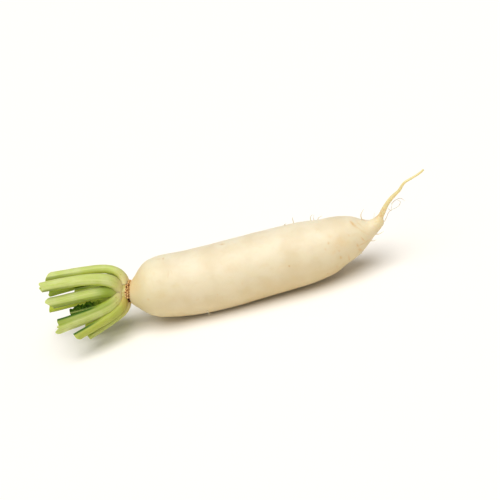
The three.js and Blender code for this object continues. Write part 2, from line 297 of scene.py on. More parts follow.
def root_skin():
    """Moist satin cream skin, greener at the shoulder and yellow at the tail, with crosswise pores,
    tan scars and rubbed patches, and painted warm shade darkening its underside."""
    s = Shader("root_skin", Subsurface_Weight=0.3, Subsurface_Scale=0.006, Specular_IOR_Level=0.42)
    s.main.inputs["Subsurface Radius"].default_value = (1.0, 0.72, 0.4)
    x = s.node("SeparateXYZ", {0: s.place}).outputs[0]
    scar, tan, belly = s.field("skin")
    colour = s.mix(s.ramp(s.grain(34, detail=3), 0.38, 0.66), srgb(237, 225, 196), srgb(228, 212, 178))
    colour = s.mix(s.ramp(x, -0.115, -0.05, 0.55, 0.0), colour, srgb(228, 219, 172))
    colour = s.mix(s.ramp(x, 0.1, 0.172, 0.0, 0.4), colour, srgb(236, 219, 172))
    colour = s.mix(s.ramp(x, 0.146, 0.172, 0.0, 0.6), colour, srgb(230, 210, 132))
    patches = s.ramp(s.grain((16, 10, 10), detail=4, roughness=0.6), 0.55, 0.75, 0.0, 0.3)
    colour = s.mix(patches, colour, srgb(224, 202, 148))
    # Painted warm shade: the belly field darkens and warms the underside.
    colour = s.mix(s.calc("MULTIPLY", belly, 0.62), colour, srgb(206, 182, 122))
    pores = s.ramp(s.grain((0.7, 7, 7), detail=3), 0.6, 0.78)
    colour = s.mix(s.calc("MULTIPLY", pores, 0.22), colour, srgb(222, 196, 140))
    speckle = s.ramp(s.grain(1.6, detail=2), 0.7, 0.8, 0.0, 0.3)
    colour = s.mix(speckle, colour, srgb(226, 196, 136))
    torn = s.ramp(s.grain((1.1, 2.4, 2.4), detail=3, roughness=0.7), 0.25, 0.7, 0.35, 1.0)
    colour = s.mix(s.calc("MULTIPLY", tan, torn, True), colour, srgb(228, 192, 128))
    colour = s.mix(s.calc("MULTIPLY", scar, torn, True), colour, srgb(184, 132, 68))
    s.put(s.main.inputs["Base Color"], colour)
    rough = s.ramp(s.grain(5, detail=4), 0.3, 0.7, 0.36, 0.5)
    s.put(s.main.inputs["Roughness"], s.calc("ADD", rough, s.calc("MULTIPLY", scar, 0.25)))
    fine = s.bump(s.grain((1.4, 2.2, 2.2), detail=4, roughness=0.6), 0.00022)
    lines = s.bump(pores, 0.00018, -1.0, fine)
    s.put(s.main.inputs["Normal"], s.bump(s.grain(9, detail=2), 0.0006, 0.6, lines))
    return s.material


def hair_skin():
    """Dry, pale hair roots."""
    s = Shader("rootlet_skin", Roughness=0.6, Subsurface_Weight=0.2, Subsurface_Scale=0.001)
    colour = s.mix(s.ramp(s.grain(6), 0.35, 0.65), srgb(226, 220, 202), srgb(198, 188, 166))
    s.put(s.main.inputs["Base Color"], colour)
    s.put(s.main.inputs["Normal"], s.bump(s.grain(0.6), 0.0001))
    return s.material


def crown_cork():
    """Dry brown cork of old leaf scars, with brown lines between them and painted shade that darkens its
    holes nearly to black, paling to a green-white dome.
    """
    s = Shader("crown_cork", Subsurface_Weight=0.1, Subsurface_Scale=0.002, Specular_IOR_Level=0.3)
    cork, cork_lines_and_hole_shade, _ = s.field("crown")
    dome = s.mix(s.ramp(s.grain(4, detail=3), 0.35, 0.65), srgb(216, 203, 138), srgb(198, 182, 104))
    scale = s.mix(s.ramp(s.grain(0.9, detail=4), 0.3, 0.7), srgb(238, 202, 142), srgb(214, 168, 100))
    scale = s.mix(s.ramp(cork_lines_and_hole_shade, 0.16, 0.6), scale, srgb(136, 86, 32))
    # Painted shade: the deepest holes are darkened nearly to black.
    scale = s.mix(s.ramp(cork_lines_and_hole_shade, 0.65, 1.0), scale, srgb(44, 18, 4))
    s.put(s.main.inputs["Base Color"], s.mix(cork, dome, scale))
    s.put(s.main.inputs["Roughness"], s.ramp(cork, 0.0, 1.0, 0.45, 0.85))
    s.put(s.main.inputs["Normal"], s.bump(s.grain(0.5, detail=4), 0.00025))
    return s.material


def leaf_stalk():
    """Smooth juicy stalk, pale at its base, with fine lengthwise ribs and a darker inner face, and painted
    shade on stalks under others and along one margin of some.
    """
    s = Shader("leaf_stalk", Subsurface_Weight=0.35, Subsurface_Scale=0.004, Specular_IOR_Level=0.22)
    s.main.inputs["Subsurface Radius"].default_value = (0.7, 1.0, 0.25)
    course = s.node("Attribute", attribute_name="course").outputs["Vector"]
    distance = s.field("course")[1]
    inner, wing, cut = s.field("zone")
    painted_shade, painted_margin_shade, brown = s.field("tone")
    bands = s.ramp(s.grain((3, 60, 1), course, 3, unit_size=1), 0.35, 0.65)
    green = s.mix(bands, srgb(206, 213, 130), srgb(193, 205, 108))
    green = s.mix(s.ramp(s.grain(14, detail=3), 0.4, 0.7, 0.0, 0.6), green, srgb(214, 219, 154))
    streak = s.ramp(s.grain((0.45, 30, 1), course, 2, unit_size=1), 0.52, 0.72, 0.0, 0.35)
    green = s.mix(streak, green, srgb(168, 184, 62))
    green = s.mix(s.calc("MULTIPLY", inner, 0.8), green, srgb(172, 184, 34))
    # Painted shade: stalks that lie under or behind others are darker and deeper green.
    green = s.mix(s.calc("MULTIPLY", painted_shade, 0.8), green, srgb(122, 150, 0))
    # Painted shade along one margin of some stalks, in darker olive green.
    green = s.mix(s.calc("MULTIPLY", painted_margin_shade, 0.6), green, srgb(128, 150, 8))
    green = s.mix(s.calc("MULTIPLY", brown, 0.4), green, srgb(190, 188, 60))
    # The pale base fades where painted shade lies.
    paler = s.calc("SUBTRACT", 1.0, s.calc("MULTIPLY", painted_shade, 0.7))
    tint = s.calc("MULTIPLY", s.ramp(distance, 6.0, 24.0, 1.0, 0.0), paler)
    green = s.mix(s.calc("MULTIPLY", tint, 0.75), green, srgb(206, 202, 124))
    base = s.calc("MULTIPLY", s.ramp(distance, 2.0, 14.0, 0.85, 0.0), paler)
    colour = s.mix(base, green, srgb(224, 212, 156))
    spots = s.calc("MULTIPLY", s.ramp(s.grain(2.2, detail=3), 0.62, 0.72), tint)
    colour = s.mix(s.calc("MULTIPLY", spots, 0.7), colour, srgb(164, 132, 44))
    tissue = s.calc("MULTIPLY", brown, s.ramp(distance, 6.0, 20.0, 0.7, 0.0))
    colour = s.mix(tissue, colour, srgb(188, 164, 66))
    colour = s.mix(wing, colour, srgb(58, 96, 10))
    pith = s.mix(s.ramp(s.grain(1.2, detail=3), 0.45, 0.6), srgb(206, 214, 130), srgb(170, 190, 80))
    colour = s.mix(cut, colour, pith)
    s.put(s.main.inputs["Base Color"], colour)
    s.put(s.main.inputs["Roughness"], s.ramp(s.grain(3, detail=3), 0.3, 0.7, 0.34, 0.48))
    ribs = s.bump(s.grain((0.8, 50, 1), course, 2, unit_size=1), 0.0003)
    s.put(s.main.inputs["Normal"], s.bump(s.grain(1.1, detail=3), 0.00008, 1.0, ribs))
    return s.material


def leaf_blade():
    """Dark green crinkled blade, paler at its foot, with a pale rib and veins."""
    s = Shader("leaf_blade", Roughness=0.6, Subsurface_Weight=0.1, Specular_IOR_Level=0.12)
    s.main.inputs["Subsurface Scale"].default_value = 0.0015
    rib, vein, foot = s.field("blade")
    green = s.mix(s.ramp(s.grain(2.2, detail=4), 0.35, 0.65), srgb(74, 112, 4), srgb(34, 70, 0))
    green = s.mix(s.calc("MULTIPLY", vein, 0.7), green, srgb(118, 150, 44))
    green = s.mix(rib, green, srgb(186, 204, 118))
    s.put(s.main.inputs["Base Color"], s.mix(s.calc("MULTIPLY", foot, 0.85), green, srgb(136, 156, 44)))
    s.put(s.main.inputs["Normal"], s.bump(s.grain(1.0, detail=4), 0.0004))
    return s.material


# Root

# Outline in the XZ plane, from crown to tail: [top x, top z, belly x, belly z].
ROOT_OUTLINE = np.array([
    [3.0, 55.1, -2.4, 31.5],
    [8.7, 60.0, 0.8, 27.4],
    [15.8, 66.5, 5.2, 22.7],
    [22.1, 70.2, 9.9, 17.6],
    [28.1, 71.8, 16.9, 12.6],
    [39.1, 72.6, 29.3, 7.8],
    [64.8, 70.7, 61.2, 1.9],
    [105.0, 70.4, 105.0, 0.0],
    [146.4, 70.7, 147.6, 1.9],
    [187.3, 69.5, 190.7, 3.9],
    [209.4, 66.9, 214.6, 8.3],
    [222.0, 66.7, 228.8, 14.9],
    [232.4, 65.5, 243.6, 21.5],
    [242.6, 62.9, 256.0, 30.7],
    [252.0, 57.7, 264.6, 38.0],
    [259.8, 54.5, 271.2, 43.0],
    [266.2, 55.2, 275.6, 47.9],
    [271.6, 58.5, 276.4, 54.2],
])

# Thin tail that the root ends in: [x, y, z, radius].
TAIL = np.array([
    [276.0, 0.0, 59.2, 2.6],
    [281.2, 0.6, 65.3, 2.4],
    [287.2, 1.0, 71.2, 2.2],
    [293.8, 0.6, 76.2, 1.9],
    [299.2, -0.4, 80.2, 1.6],
    [303.2, -1.0, 84.9, 1.45],
    [307.0, -1.2, 88.0, 1.3],
    [313.0, -0.6, 89.8, 1.15],
    [320.0, 0.4, 91.6, 1.15],
    [325.0, 1.0, 93.4, 1.15],
    [328.4, 1.2, 95.4, 1.0],
])

# Side rootlets: [place along the root from 0 to 1, degrees round it, reach out, run along, radius].
ROOTLETS = [
    [0.825, 158, 4, 9, 0.42],
    [0.779, 158, 3, 6, 0.42],
    [0.84, -18, 8, 10, 0.5],
    [0.716, 150, 2, 1, 0.42],
    [0.588, -28, 4, 6, 0.42],
    [0.565, -26, 7, 4, 0.42],
    [0.524, -28, 8, 1, 0.42],
    [0.509, -20, 3, 3, 0.42],
    [0.372, 126, 7, 4, 0.42],
]
ROOTLET_TIP = 0.35  # share of its radius that a rootlet keeps at its tip
ROOTLET_WAVE = 0.8  # how far a rootlet sways to either side
ROOTLET_SKIN = (0.0, 0.15, 0.3)  # how scarred and tan a rootlet's skin is, and how much painted underside shade it has

# Scars and rubbed places on the skin, from the photograph:
# [along in mm, degrees round, half length along, half length round, tilt in degrees, scar, tan].
MARKS = [
    [40, 1, 1.0, 1.8, 0, 0.45, 0.5],
    [34, -1, 3.0, 1.0, 25, 0.1, 0.5],
    [108, -2, 2.8, 1.6, 20, 0.4, 0.5],
    [45, 39, 0.45, 3.2, 12, 0.15, 0.45],
    [49, 36, 0.4, 2.6, -20, 0.1, 0.4],
    [20, 85, 1.1, 1.1, 0, 0.2, 0.8],
    [172, 77, 0.7, 0.7, 0, 0.9, 0.6],
    [120, 84, 0.6, 0.9, 0, 0.1, 0.5],
    [92, 92, 0.7, 0.8, 0, 0.1, 0.5],
    [70, 94, 1.6, 0.8, 0, 0.1, 0.5],
    [113, 53, 9, 5, 10, 0.0, 0.2],
    [218, 57, 1.1, 1.4, 20, 0.15, 0.8],
    [213, 66, 1.0, 1.2, 0, 0.05, 0.5],
    [222, 46, 4.0, 2.0, 30, 0.0, 0.4],
    [229, 70, 9, 6, 10, 0.0, 0.5],
    [220, 80, 4, 2.5, 0, 0.0, 0.4],
    [224, 101, 1.0, 2.0, 0, 0.25, 0.9],
    [225, 84, 0.9, 1.3, 0, 0.1, 0.7],
    [230, 122, 0.7, 5.0, 12, 0.25, 0.9],
    [206, 125, 1.0, 2.2, -30, 0.35, 0.7],
    [193, 148, 1.2, 2.0, 20, 0.3, 0.7],
    [241, 62, 0.8, 1.4, 0, 0.05, 0.7],
    [250.5, 29, 1.3, 4.4, -14, 0.3, 1.0],
    [252.7, 44, 0.5, 12, -18, 0.05, 0.6],
    [256.6, 30, 0.5, 6.0, -16, 0.05, 0.5],
    [250, 100, 0.6, 4.0, 0, 0.15, 0.8],
    [247, 112, 0.7, 4.0, -55, 0.2, 0.9],
    [251, 120, 0.8, 3.6, -60, 0.1, 0.8],
    [243, 103, 0.8, 2.4, 5, 0.2, 0.8],
    [242, 122, 1.2, 3.4, 0, 0.25, 0.8],
    [217, 118, 0.9, 1.4, 0, 0.2, 0.5],
    [274, 22, 0.6, 3.0, -40, 0.1, 0.9],
    [277, 46, 0.7, 2.6, 30, 0.25, 0.9],
    [279.5, 60, 0.8, 1.6, 0, 0.2, 0.9],
    [275, 75, 0.8, 1.8, 0, 0.15, 0.8],
]
RANDOM_MARKS = 46
PORES = 90

# Relief of the skin, in millimetres.
SWELL_HEIGHT = 0.45
SMALL_SWELL_HEIGHT = 0.16
CREASE_HEIGHT = 0.1
WRINKLE_HEIGHT = 0.42
KNOB_HEIGHT = 0.9
PORE_DEPTH = 0.12
SCAR_DEPTH = 0.16
TAIL_BUMP_HEIGHT = 0.1

SHOULDER_TAN_AND_SHADE = 0.95  # how tan the top of the shoulder is, beside the crown: partly the skin's own tan, partly painted edge shade
NECK_START = 238  # along the root, where the painted shade on the underside begins to fade
NECK_END = 264
WRINKLES_AT = 274  # along the root, where it narrows to its tail
SMOOTHEST_AT = 130  # along the root, where it has the fewest creases
KNOB_AT = 277
KNOB_SIDE = math.radians(160)
TAIL_START = 279
CROWN_SKEW = 0.12  # how far the near side of crown and shoulder lies towards the stalks
SKEW_FADE = 0.08  # the share of the root's length over which the skew dies out
ROOT_RINGS = 470
ROOT_SIDES = 160


def root_lines():
    """The upper and the lower line of root and tail together, as rows of points."""
    level = np.zeros(len(ROOT_OUTLINE))
    top = np.column_stack([ROOT_OUTLINE[:, 0], level, ROOT_OUTLINE[:, 1]])
    belly = np.column_stack([ROOT_OUTLINE[:, 2], level, ROOT_OUTLINE[:, 3]])
    centre = TAIL[:, :3]
    reach = unit(np.cross(np.gradient(centre, axis=0), ACROSS)) * TAIL[:, 3:]
    return np.vstack([top, centre + reach]), np.vstack([belly, centre - reach])


UPPER_LINE, LOWER_LINE = root_lines()
ROOT_SHARE = (len(ROOT_OUTLINE) - 1) / (len(UPPER_LINE) - 1)


def root_at(place):
    """Centre, radius and up direction of the section at each place: 0 at the crown, 1 at the neck of
    the tail, and on along the tail."""
    top = curve(UPPER_LINE, np.asarray(place) * ROOT_SHARE)
    belly = curve(LOWER_LINE, np.asarray(place) * ROOT_SHARE)
    across = top - belly
    radius = np.linalg.norm(across, axis=-1, keepdims=True) / 2
    return (top + belly) / 2, radius, across / (2 * radius)


def outward(up, turn):
    """The direction that many radians round from up, with a quarter turn towards -Y."""
    return up * np.cos(turn) - ACROSS * np.sin(turn)


def even_places(count):
    """Places along root and tail at even distances."""
    fine = np.linspace(0, 1 / ROOT_SHARE, 4000)
    centre = root_at(fine)[0]
    steps = np.linalg.norm(np.diff(centre, axis=0), axis=1)
    run = np.concatenate([[0], np.cumsum(steps)])
    return np.interp(np.linspace(0, run[-1], count), run, fine)


def random_marks():
    """More marks, on the sides that the photograph doesn't show."""
    draw = random.Random(11)
    for _ in range(RANDOM_MARKS):
        along = 262 * draw.random() ** 0.6
        turn = draw.uniform(165, 345)
        size = draw.uniform(0.5, 1.1)
        strength = draw.uniform(0.3, 0.8)
        yield [along, turn, size, size * draw.uniform(1, 3), draw.uniform(-30, 30), 0.4 * strength, strength]


def skin_fields(along, turn, radius):
    """How scarred, tan and pitted the skin is at each point, with painted shade along the shoulder's top edge
    counted as tan.
    """
    scar = np.zeros(along.shape)
    tan = np.zeros(along.shape)
    for middle, degrees, long, broad, tilt, scarred, tanned in [*MARKS, *random_marks()]:
        ahead = along - middle
        apart = (turn - math.radians(degrees) + np.pi) % (2 * np.pi) - np.pi
        beside = apart * radius
        lean = math.radians(tilt)
        ahead, beside = (
            ahead * math.cos(lean) + beside * math.sin(lean),
            beside * math.cos(lean) - ahead * math.sin(lean),
        )
        spot = np.exp(-((ahead / long) ** 2) - (beside / broad) ** 2)
        scar = np.maximum(scar, scarred * spot)
        tan = np.maximum(tan, tanned * spot)
    draw = random.Random(5)
    pits = np.zeros(along.shape)
    for _ in range(PORES):
        middle, degrees = draw.uniform(6, 262), draw.uniform(0, 2 * np.pi)
        long, broad = draw.uniform(0.5, 0.9), draw.uniform(2.5, 6)
        apart = (turn - degrees + np.pi) % (2 * np.pi) - np.pi
        pits = np.maximum(pits, np.exp(-(((along - middle) / long) ** 2) - (apart * radius / broad) ** 2))
    # Tan at the top of the shoulder beside the crown, partly painted shade along that edge.
    shoulder = SHOULDER_TAN_AND_SHADE * near(along, 4, 10) * (0.5 + 0.5 * np.cos(turn)) ** 2
    return scar, np.maximum(tan, shoulder), pits


def root_body():
    """Root and tail as one loft, with the skin's relief and its fields."""
    place = even_places(ROOT_RINGS)
    centre, radius, up = (part[:, None] for part in root_at(place))
    turn = np.linspace(0, 2 * np.pi, ROOT_SIDES + 1)[None, :, None]
    out = outward(up, turn)
    points = centre + out * radius
    points[..., 0] += CROWN_SKEW * np.exp(-((place[:, None] / SKEW_FADE) ** 2)) * points[..., 1]
    along = np.broadcast_to(centre[..., 0], points.shape[:2])
    round_it = np.broadcast_to(turn[..., 0], points.shape[:2])
    thick = np.broadcast_to(radius[..., 0], points.shape[:2])
    scar, tan, pits = skin_fields(along, round_it, thick)
    swells = SWELL_HEIGHT * rumple(points, 42, 1) + SMALL_SWELL_HEIGHT * rumple(points, 13, 2)
    creases = CREASE_HEIGHT * rumple(points, (2.2, 9, 9), 3) * (1 - near(along, SMOOTHEST_AT, 110))
    wrinkles = WRINKLE_HEIGHT * near(along, WRINKLES_AT, 8) * rumple(points, (1.5, 4, 1.5), 4)
    knob = KNOB_HEIGHT * near(along, KNOB_AT, 3.5) * near(np.cos(round_it - KNOB_SIDE), 1, 0.6)
    dents = -PORE_DEPTH * pits - SCAR_DEPTH * scar
    on_root = np.minimum(1, thick / 14)
    on_neck = np.minimum(1, thick / 3)
    relief = on_root * (swells + creases + dents) + on_neck * (wrinkles + knob)
    tail_bumps = TAIL_BUMP_HEIGHT * rise(along, TAIL_START, TAIL_START + 5) * rumple(points, 2.5, 5)
    points = points + out * (relief + tail_bumps)[..., None]
    points[..., 2] = np.maximum(points[..., 2], SETTLE)
    # Painted shade: the belly field darkens the underside and fades towards the tail's neck.
    belly = (1 - np.cos(round_it)) / 2 * (1 - 0.75 * rise(along, NECK_START, NECK_END))
    skin = np.stack([scar, tan, belly], -1)
    return loft(points[:, :-1], {"skin": skin})


def rootlet(place, degrees, reach, run, radius, sway=ROOTLET_WAVE, steps=28, sides=8):
    """A side rootlet that curves from out to along, thinner towards its tip."""
    centre, root_radius, up = root_at(place)
    out = outward(up, math.radians(degrees))
    along = unit(np.cross(ACROSS, up))
    start = centre + out * (root_radius - 3 * radius)
    route = [
        start + out * reach * math.sin(1.4 * s) + along * run * s * s + ACROSS * sway * math.sin(5 * s)
        for s in (0, 0.2, 0.45, 0.7, 1)
    ]
    return loft(tube(route, [radius * 1.3, radius, 0.8 * radius, ROOTLET_TIP * radius], sides, steps))


def dressed_root():
    body = root_body()
    rootlets = [rootlet(*row) for row in ROOTLETS]
    for _, faces, corners in rootlets:
        corners["skin"] = [np.tile(ROOTLET_SKIN, (*group.shape, 1)) for group in faces]
    made = piece("daikon_root", [body, *rootlets], root_skin())
    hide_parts("root")
    return made


# Hair roots

# Hair-thin rootlets that stand off the skin: [place, degrees round, reach out, run along, sway].
HAIRS = [
    [0.575, -30, 6, 2, -1.0],
    [0.69, 230, 7, -3, 1.2],
    [0.6, 262, 6, 4, 1.5],
    [0.9, 280, 6, 5, -2.0],
    [0.95, 245, 7, 8, 2.0],
    [0.47, 300, 5, 3, 1.0],
    [0.37, 218, 5, -4, 1.5],
]
HAIR_RADIUS = 0.3
HAIR_SIDES = 6
CURL_STEPS = 60

# Long hairs that curl beside the tail, as routes of [x, y, z].
CURLS = [
    [[288.0, 1.0, 66.3], [292.6, 1.6, 69.1], [298.6, 2.4, 69.6], [302.4, 2.2, 65.3]],
    [
        [276.7, -1.5, 50.0],
        [280.7, -2.2, 55.9],
        [283.1, -2.8, 59.8],
        [286.2, -3.0, 62.0],
        [290.1, -2.8, 62.5],
        [294.7, -2.2, 63.9],
        [296.8, -1.6, 65.9],
        [297.7, -1.0, 67.2],
        [296.5, -0.6, 68.8],
        [294.7, -0.4, 70.1],
    ],
    [[283.6, -1.0, 63.5], [285.2, -2.0, 61.7], [286.3, -2.6, 61.1], [287.5, -2.8, 65.1], [288.8, -2.2, 68.0]],
]


def hair_roots():
    """Hairs round the root and curls beside the tail, as one object."""
    bodies = []
    for *row, sway in HAIRS:
        bodies.append(rootlet(*row, HAIR_RADIUS, sway, steps=30, sides=HAIR_SIDES))
    radii = [1.4 * HAIR_RADIUS, HAIR_RADIUS, 0.9 * HAIR_RADIUS, 0.5 * HAIR_RADIUS]
    bodies += [loft(tube(route, radii, HAIR_SIDES, CURL_STEPS)) for route in CURLS]
    made = piece("root_hairs", bodies, hair_skin())
    return made


# Crown: a short stem on the root's shoulder that leans up a little. The outline is [height, radius].
GAP = 0.3
CROWN_CENTRE = np.array((0.3, 0.0, 43.3))
CROWN_LEAN = math.radians(13)
CROWN_OUTLINE = [
    [0.0, 11.4],
    [0.9, 12.2],
    [2.2, 12.6],
    [3.6, 12.4],
    [4.8, 12.0],
    [8.0, 11.5],
    [12.0, 10.8],
    [16.0, 8.8],
    [18.5, 5.0],
]
CROWN_RINGS = 150
CROWN_SIDES = 260
CORK_HEIGHT = 5.2
COLLAR_RADIUS = 12.4
SCARS_PER_ROW = 27
SCAR_ROW_HEIGHT = 2.1
SCAR_RISE = 0.7
# Holes and pits in the collar: [height, degrees round, half height, half breadth, share of HOLE_DEPTH].
HOLES = [
    [2.2, 103, 1.9, 1.6, 1.0],
    [1.0, 121, 1.2, 2.2, 1.0],
    [3.3, 33, 0.8, 1.0, 0.6],
    [1.3, 22, 0.7, 1.3, 0.6],
    [2.0, 46, 0.6, 0.9, 0.5],
    [3.7, 12, 0.7, 1.4, 0.5],
    [4.0, 62, 0.5, 0.9, 0.45],
    [0.9, 78, 0.5, 0.8, 0.45],
    [2.6, 236, 1.2, 1.5, 1.0],
    [1.5, 330, 1.0, 1.3, 0.9],
    [3.0, 190, 0.7, 1.2, 0.6],
    [1.2, 278, 0.7, 1.4, 0.6],
]
HOLE_DEPTH = 1.5
SCAR_WANDER = 0.55  # how far the rows of scars stray up and down
SCAR_SHIFT = 0.3  # how far the scars stray along their row, as a share of a scar
CORK_RAGGEDNESS = 0.7  # how far the cork's upper edge strays up and down
DOME_RIBS = 13
DOME_RIB_HEIGHT = 0.25
STRETCH_LENGTH = 8  # a crown grown by a margin is longer by that margin for each such height

crown_axis = np.array((-math.cos(CROWN_LEAN), 0, math.sin(CROWN_LEAN)))
crown_up = np.array((math.sin(CROWN_LEAN), 0, math.cos(CROWN_LEAN)))


def scar_creases(height, turn):
    """For each point of the collar, 0 in the middle of a leaf scar and 1 in the crease between two."""
    places = np.stack([height, COLLAR_RADIUS * np.cos(turn), COLLAR_RADIUS * np.sin(turn)], -1)
    row = (height + SCAR_WANDER * rumple(places, 2.6, 8)) / SCAR_ROW_HEIGHT
    stagger = 0.5 * (np.round(row) % 2)
    step = SCARS_PER_ROW * turn / (2 * np.pi) + stagger + SCAR_SHIFT * rumple(places, 3.1, 9)
    from_middle = np.hypot(row - np.round(row), step - np.round(step))
    return rise(from_middle, 0.26, 0.5)


def crown_body(margin=0.0, rings=CROWN_RINGS, sides=CROWN_SIDES):
    """The crown with its scars and holes, grown outwards by a margin when it is used as a cutter."""
    t = np.linspace(0, 1, rings + 1)
    height, radius = curve(CROWN_OUTLINE, t).T
    reach = GAP - margin + height * (1 + margin / STRETCH_LENGTH)
    centre = CROWN_CENTRE + crown_axis * reach[:, None]
    turn = np.linspace(0, 2 * np.pi, sides + 1)
    heights, turns = np.meshgrid(height, turn, indexing="ij")
    ragged = CORK_HEIGHT + CORK_RAGGEDNESS * np.sin(5 * turns + 1) * np.sin(3 * turns)
    cork = 1 - rise(heights, ragged - 0.5, ragged + 0.3)
    crease = scar_creases(heights, turns)
    hole = np.zeros(heights.shape)
    for middle, degrees, long, broad, depth in HOLES:
        apart = (turns - math.radians(degrees) + np.pi) % (2 * np.pi) - np.pi
        spot = np.exp(-(((heights - middle) / long) ** 4) - (apart * COLLAR_RADIUS / broad) ** 4)
        hole = np.maximum(hole, depth * spot)
    relief = cork * (SCAR_RISE * (0.5 - crease) - HOLE_DEPTH * hole)
    relief += (1 - cork) * DOME_RIB_HEIGHT * np.cos(DOME_RIBS * turns)
    out = outward(crown_up, turns[..., None])
    points = centre[:, None] + out * (radius[:, None] + margin + relief)[..., None]
    points[..., 0] += CROWN_SKEW * points[..., 1]
    # Brown lines between the scars, and painted shade in the holes.
    cork_lines_and_hole_shade = np.clip(0.55 * crease + hole, 0, 1)
    return loft(points[:, :-1], {"crown": np.stack([cork, cork_lines_and_hole_shade, 0 * cork_lines_and_hole_shade], -1)})


def dressed_crown():
    made = piece("daikon_crown", [crown_body()], crown_cork())
    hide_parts("crown")
    return made


# Leaf stalks. Turn is the place round the crown in degrees, 0 up and 90 towards -Y. A stalk leaves the
# crown at a height and radius, heading steep degrees off the bundle's axis, and bends over so many
# millimetres to its splay. The wings are the leaf's remains at its two margins near the cut. The cut is
# the knife's slant out, then how far the end reaches at five places from one margin to the other.
STALKS = [
    # name, turn, [height, radius], [steep, splay, bend], length, [wide, thick, narrowing], wings, cut
    ["top", -23, [7.3, 9], [97.5, 3.5, 15.6], 91, [13, 10, 0.06], [0.5, 0.5], [-0.5, 0, -1.2, -3, -1.5, 0]],
    ["upper_near", 22, [13.5, 6], [96, 4, 21], 91, [14, 10.5, 0.2], [0, 0.6], [-0.2, -2.5, -1, 1, 0.5, -1.5]],
    ["lower_near", 98.5, [13, 5], [91, 12.6, 13.5], 76, [15, 9.5, 0], [2.5, 0.5], [0.4, 0, 2.5, 3, -2.5, -1]],
    ["under_near", 114, [8, 6], [92, 21.5, 14], 70, [10.5, 8, 0.06], [1.2, 0.4], [0, -7, -3, -1, 0.5, 1]],
    [
        "bottom", 146, [5.2, 10], [81, 20.4, 9.5], 57, [8.5, 6.8, 0.06], [0.4, 0.4],
        [0, -4, -2, -0.5, 0.5, 0.5],
    ],
    ["under_far", 178, [6, 9], [84, 8, 13], 60, [11, 8.5, 0.06], [0.6, 0.6], [0.2, -1.5, 0.5, 1, 0, -2]],
    ["lower_far", 204, [6, 8], [90, 6, 14], 68, [12, 8.5, 0.06], [0.6, 0.6], [0, 1.5, 0.5, 0, -1, -3]],
    ["far", 247, [9, 6], [88, 3, 13], 95, [12, 8.5, 0.06], [0.8, 1.2], [0.1, -2.5, -1, 0, 1, 1.5]],
    ["upper_far", 305, [9, 7], [85, -3, 13], 88, [11, 8, 0.06], [0.6, 0.8], [-0.2, -2, 0, 1, 0.5, -1.5]],
    ["inner_near", 49, [15, 5], [80, 0.5, 15.5], 79, [12.4, 9, 0.06], [0.4, 0.4], [0, -5.5, -3, 1, 0.8, -3]],
    [
        "inner_low", 205, [16.5, 3.5], [60, 0, 9], 34, [8.5, 6.5, 0.06], [0.8, 0.8],
        [0.2, -1, 0.5, 0.5, 0, -1.5],
    ],
    ["inner_far", 290, [17, 3], [56, 4, 9], 48, [8.5, 7, 0.06], [0.8, 0.8], [0, -1.5, 0.3, 0.8, 0, -2]],
]
# How much painted shade darkens the green of stalks that lie under or behind others, from 0 to 1: all along,
# and near the base.
SHADED_STALKS = {
    "under_near": (0.5, 0.5),
    "bottom": (0, 0),
    "upper_far": (0.7, 0.7),
    "inner_near": (0.12, 1),
    "inner_low": (0.4, 0.4),
    "inner_far": (0.3, 0.3),
}
SHADED_MARGIN = {"lower_near": 1, "inner_near": -1}  # painted shade along one margin of these stalks: 1 upper, -1 lower
BROWN_BASE = {"under_near": 1, "bottom": 0.5}  # how brown the old tissue at the base is
STALK_SIDES = 72
STALK_RINGS = 110
CAP_RINGS = 8
RING_CROWDING = 1.35  # rings stand closer together where the stalk bends
BEND_POWER = 1.3
BUNDLE_LEAN = math.radians(1.5)
BASE_WIDENING = 0.35
BASE_THINNING = 0.15
BASE_LENGTH = 13
CUT_LENGTH = 9  # the part of a stalk that its slanting cut takes in
OUTSIDE_SHARE = 0.6  # of a stalk's thickness, outside the line through its margins
GROOVE_DEPTH = 0.26  # as a share of the thickness
GROOVE_WIDTH = 0.45  # as a share of half the width
LEAFY_WIDTH = 1.2  # a wing this wide or wider is dark green all over
CUT_BEVEL = 0.035  # share of the end's radius
CUT_SINK = 0.12  # from the rim to the cut face
CUT_HOLLOW = 0.5  # how much deeper the middle of the cut face lies
STALK_GAP = 0.16  # between neighbouring stalks
RIDGES = 17
RIDGE_HEIGHT = 0.13
RIDGE_WANDER = 0.12  # radians to either side
RIDGE_START = (3, 12)  # from the crown, where the ridges begin to show and where they show in full
STALK_SWELL = 0.25

bundle_axis = np.array((-math.cos(BUNDLE_LEAN), 0, math.sin(BUNDLE_LEAN)))
bundle_up = np.array((math.sin(BUNDLE_LEAN), 0, math.cos(BUNDLE_LEAN)))


def stalk_path(degrees, start, course, distances):
    """Centre line of a stalk at the given distances: places, directions along and directions out."""
    steep, splay, bend = course
    height, radius = start
    turn = math.radians(degrees)
    side = outward(bundle_up, turn)
    step = 0.2

    def heading(distance):
        tip = np.radians(splay + (steep - splay) * np.exp(-((distance / bend) ** BEND_POWER)))[:, None]
        along = bundle_axis * np.cos(tip) + side * np.sin(tip)
        out = side * np.cos(tip) - bundle_axis * np.sin(tip)
        return along, out

    run = np.arange(0, distances[-1] + 2 * step, step)
    strides = heading(run[:-1] + step / 2)[0] * step
    line = np.vstack([[0, 0, 0], np.cumsum(strides, axis=0)])
    at = np.column_stack([np.interp(distances, run, line[:, k]) for k in range(3)])
    base = CROWN_CENTRE + crown_axis * height + outward(crown_up, turn) * radius
    return base + at, *heading(distances)


